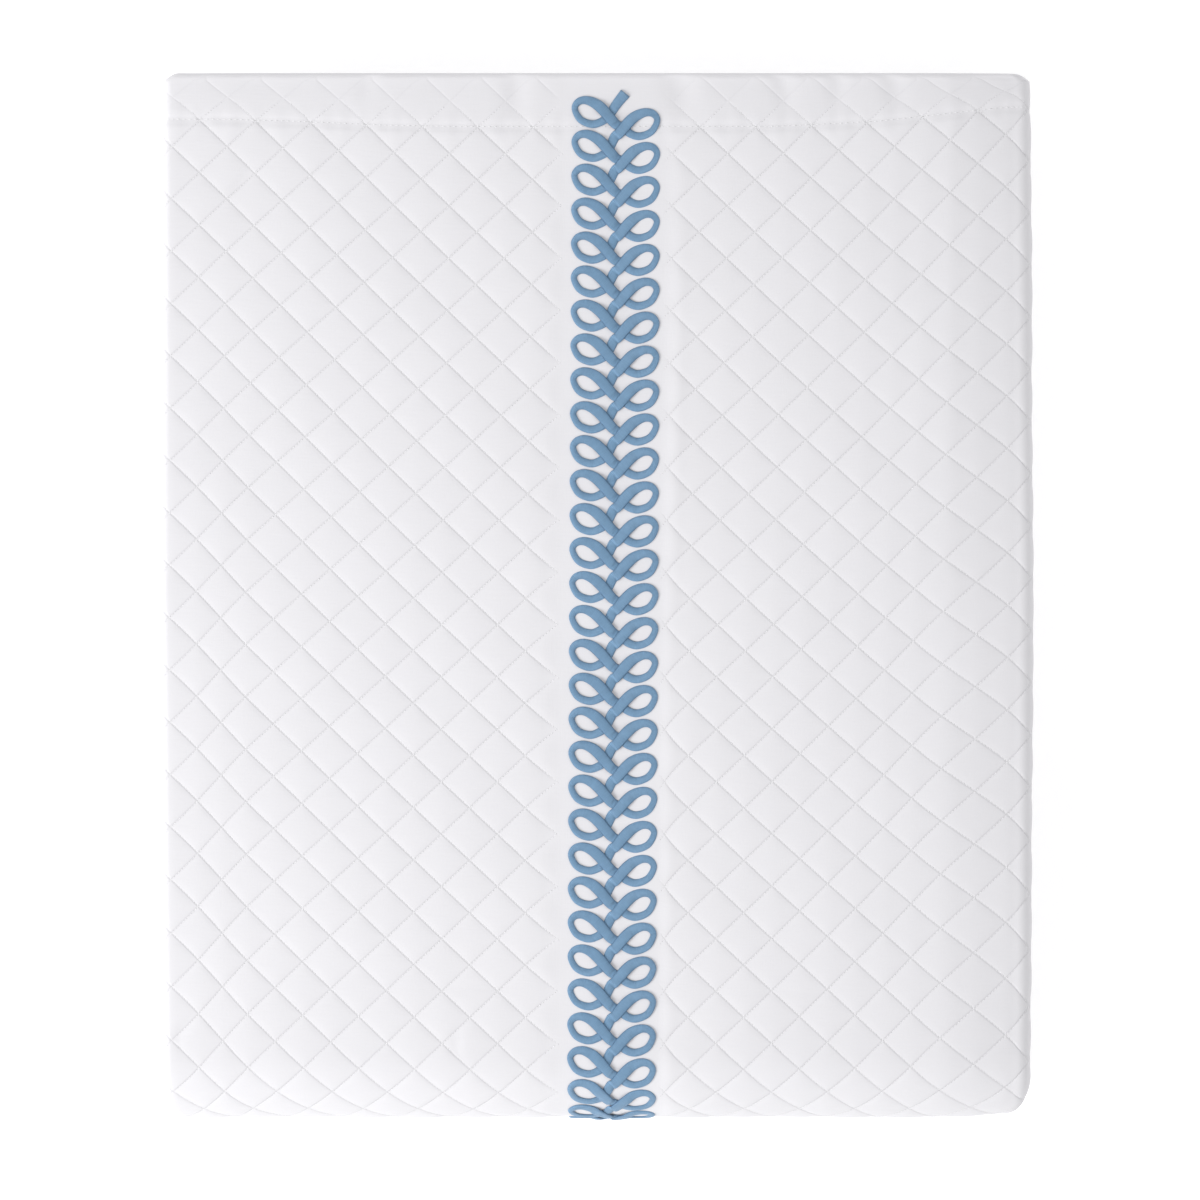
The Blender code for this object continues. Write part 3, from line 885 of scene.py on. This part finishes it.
def make_hem_stitches(settings):
    """The straight row of stitches that holds the hem."""
    low = (ACROSS_LINE.starts[1] + 8 * MM - COLUMN_ORIGIN) / COLUMN_STEP
    high = (ACROSS_LINE.ends[3] - 3 * MM - COLUMN_ORIGIN) / COLUMN_STEP
    step = settings.hem_stitch / COLUMN_STEP
    column = np.arange(low, high, step)
    row = np.full(len(column), HEM_ROW)
    surface = Surface(settings.puff)
    points, faces = stitches(
        surface, (column, row), (column + step * 0.8, row), settings.thread_width * 1.2, settings.thread_rise
    )
    mesh = make_mesh("hem_thread", points, faces)
    return add_piece("hem_thread", mesh, thread_finish(settings))


# The stage


def make_floor(settings):
    bpy.ops.mesh.primitive_plane_add(size=8.0, location=(0, 0, -0.0002))
    floor = bpy.context.object
    floor.name = "studio_floor"
    floor.data.materials.append(floor_finish(settings))


def add_light(name, place, size, power, target=(0, 0, 0)):
    light = bpy.data.lights.new(name, "AREA")
    light.shape = "DISK"
    light.size = size
    light.energy = power
    lamp = bpy.data.objects.new(name, light)
    lamp.location = place
    lamp.rotation_euler = (Vector(target) - Vector(place)).to_track_quat("-Z", "Y").to_euler()
    bpy.context.scene.collection.objects.link(lamp)


def make_lights(settings):
    add_light("key_light", (-1.9, -0.9, 1.5), 1.6, settings.key_power)
    add_light("fill_light", (0.6, 0.5, 2.6), 2.4, settings.fill_power)
    world = bpy.data.worlds.new("studio")
    world.use_nodes = True
    world.node_tree.nodes["Background"].inputs["Color"].default_value = (1, 1, 1, 1)
    world.node_tree.nodes["Background"].inputs["Strength"].default_value = settings.sky_strength
    bpy.context.scene.world = world
    bpy.context.scene.view_settings.view_transform = "Standard"


def make_camera(settings):
    """Straight above the pile, with the frame 0.6 m wide at the pile's top."""
    camera = bpy.data.cameras.new("camera")
    camera.sensor_width = 36.0
    camera.lens = camera.sensor_width * settings.camera_height / settings.frame_width
    camera.clip_end = 50.0
    eye = bpy.data.objects.new("camera", camera)
    eye.location = (settings.camera_across, settings.camera_along, PILE_HEIGHT + settings.camera_height)
    bpy.context.scene.collection.objects.link(eye)
    bpy.context.scene.camera = eye


# Settings, operators and panel


class CoverletSettings(bpy.types.PropertyGroup):
    """Sizes and colours of the cloth and its threads."""

    puff: bpy.props.FloatProperty(
        name="Puff", description="Rise of each quilted diamond", default=0.7 * MM, unit="LENGTH"
    )
    cotton: bpy.props.FloatVectorProperty(
        name="Cotton", description="Colour of the cloth", default=(0.75, 0.742, 0.768), subtype="COLOR"
    )
    thread: bpy.props.FloatVectorProperty(
        name="Thread", description="Colour of the sewing thread", default=(0.86, 0.86, 0.87), subtype="COLOR"
    )
    quilt_stitch: bpy.props.FloatProperty(
        name="Quilt stitch",
        description="Length of a quilting stitch and its gap",
        default=1.75 * MM,
        unit="LENGTH",
    )
    hem_stitch: bpy.props.FloatProperty(
        name="Hem stitch", description="Length of a hem stitch and its gap", default=2.85 * MM, unit="LENGTH"
    )
    thread_width: bpy.props.FloatProperty(
        name="Thread width", description="Width of a sewing stitch", default=0.42 * MM, unit="LENGTH"
    )
    thread_rise: bpy.props.FloatProperty(
        name="Thread rise",
        description="Height of a sewing stitch over the cloth",
        default=0.16 * MM,
        unit="LENGTH",
    )


class BorderSettings(bpy.types.PropertyGroup):
    """Sizes and colours of the embroidered border."""

    light_thread: bpy.props.FloatVectorProperty(
        name="Light thread",
        description="Lighter colour of the cord",
        default=(0.235, 0.415, 0.62),
        subtype="COLOR",
    )
    dark_thread: bpy.props.FloatVectorProperty(
        name="Dark thread",
        description="Darker colour of the cord",
        default=(0.135, 0.265, 0.44),
        subtype="COLOR",
    )
    thread_pitch: bpy.props.FloatProperty(
        name="Thread pitch",
        description="Spacing of the threads across the cord",
        default=0.5 * MM,
        unit="LENGTH",
    )
    cord_rise: bpy.props.FloatProperty(
        name="Cord rise", description="Height of the cord over the cloth", default=0.95 * MM, unit="LENGTH"
    )
    cord_lift: bpy.props.FloatProperty(
        name="Crossing lift",
        description="Lift where the cord passes over itself",
        default=0.95 * MM,
        unit="LENGTH",
    )
    cord_seat: bpy.props.FloatProperty(
        name="Seat", description="Clearance of the cord over the cloth", default=0.05 * MM, unit="LENGTH"
    )
    cord_parts: bpy.props.IntProperty(
        name="Parts", description="Cells of the cord between two knots", default=6, min=2
    )
    cord_sides: bpy.props.IntProperty(
        name="Sides", description="Points over the cord's dome", default=9, min=5
    )


class StageSettings(bpy.types.PropertyGroup):
    """The floor, the lights and the camera."""

    floor: bpy.props.FloatVectorProperty(
        name="Floor", description="Colour of the floor", default=(0.94, 0.94, 0.94), subtype="COLOR"
    )
    floor_glow: bpy.props.FloatProperty(
        name="Floor glow", description="Light given off by the white floor", default=0.3
    )
    key_power: bpy.props.FloatProperty(
        name="Key",
        description="Power of the key light in watts",
        default=45.0,
    )
    fill_power: bpy.props.FloatProperty(
        name="Fill",
        description="Power of the fill light in watts",
        default=8.0,
    )
    sky_strength: bpy.props.FloatProperty(
        name="Sky",
        description="Strength of the even light",
        default=0.68,
    )
    camera_height: bpy.props.FloatProperty(
        name="Camera height", description="Camera over the pile's top", default=2.4, unit="LENGTH"
    )
    frame_width: bpy.props.FloatProperty(
        name="Frame width", description="Width of the view at the pile's top", default=0.594, unit="LENGTH"
    )
    camera_across: bpy.props.FloatProperty(
        name="Camera across",
        description="Camera to the right of the middle",
        default=1.0 * MM,
        unit="LENGTH",
    )
    camera_along: bpy.props.FloatProperty(
        name="Camera along", description="Camera behind the middle", default=-1.1 * MM, unit="LENGTH"
    )


class COVERLET_OT_add_sheet(bpy.types.Operator):
    """Add the folded quilted cloth"""

    bl_idname = "coverlet.add_sheet"
    bl_label = "Folded Cloth"

    def execute(self, context):
        make_sheet(context.scene.coverlet)
        return {"FINISHED"}


class COVERLET_OT_add_border(bpy.types.Operator):
    """Add the embroidered border of looped cord"""

    bl_idname = "coverlet.add_border"
    bl_label = "Looped Border"

    def execute(self, context):
        make_border(context.scene.coverlet_border)
        return {"FINISHED"}


class COVERLET_OT_add_threads(bpy.types.Operator):
    """Add the quilting and hem stitches"""

    bl_idname = "coverlet.add_threads"
    bl_label = "Sewing Threads"

    def execute(self, context):
        make_quilting(context.scene.coverlet)
        make_hem_stitches(context.scene.coverlet)
        return {"FINISHED"}


class COVERLET_OT_declare_sheet(bpy.types.Operator):
    """Does nothing: the flat size of the cloth is not stated"""

    bl_idname = "coverlet.declare_sheet"
    bl_label = "Flat Size"

    def execute(self, context):
        return {"FINISHED"}


class COVERLET_OT_add_stage(bpy.types.Operator):
    """Add the floor, the lights and the camera"""

    bl_idname = "coverlet.add_stage"
    bl_label = "Studio Stage"

    def execute(self, context):
        settings = context.scene.coverlet_stage
        make_floor(settings)
        make_lights(settings)
        make_camera(settings)
        return {"FINISHED"}


class COVERLET_PT_main(bpy.types.Panel):
    """Lists the coverlet's pieces and settings"""

    bl_label = "Folded Coverlet"
    bl_idname = "COVERLET_PT_main"
    bl_space_type = "VIEW_3D"
    bl_region_type = "UI"
    bl_category = "Coverlet"

    def draw(self, context):
        for operator in OPERATORS:
            self.layout.operator(operator.bl_idname)
        for name in SETTINGS:
            group = getattr(context.scene, name)
            for setting in group.__annotations__:
                self.layout.prop(group, setting)


OPERATORS = (
    COVERLET_OT_add_sheet,
    COVERLET_OT_add_border,
    COVERLET_OT_add_threads,
    COVERLET_OT_declare_sheet,
    COVERLET_OT_add_stage,
)
SETTINGS = {"coverlet": CoverletSettings, "coverlet_border": BorderSettings, "coverlet_stage": StageSettings}
CLASSES = (*SETTINGS.values(), *OPERATORS, COVERLET_PT_main)


def register():
    for each in CLASSES:
        bpy.utils.register_class(each)
    for name, group in SETTINGS.items():
        setattr(bpy.types.Scene, name, bpy.props.PointerProperty(type=group))


def unregister():
    for name in SETTINGS:
        delattr(bpy.types.Scene, name)
    for each in reversed(CLASSES):
        bpy.utils.unregister_class(each)


def main():
    register()
    bpy.ops.coverlet.add_sheet()
    bpy.ops.coverlet.add_border()
    bpy.ops.coverlet.add_threads()
    bpy.ops.coverlet.declare_sheet()
    bpy.ops.coverlet.add_stage()


if __name__ == "__main__":
    main()
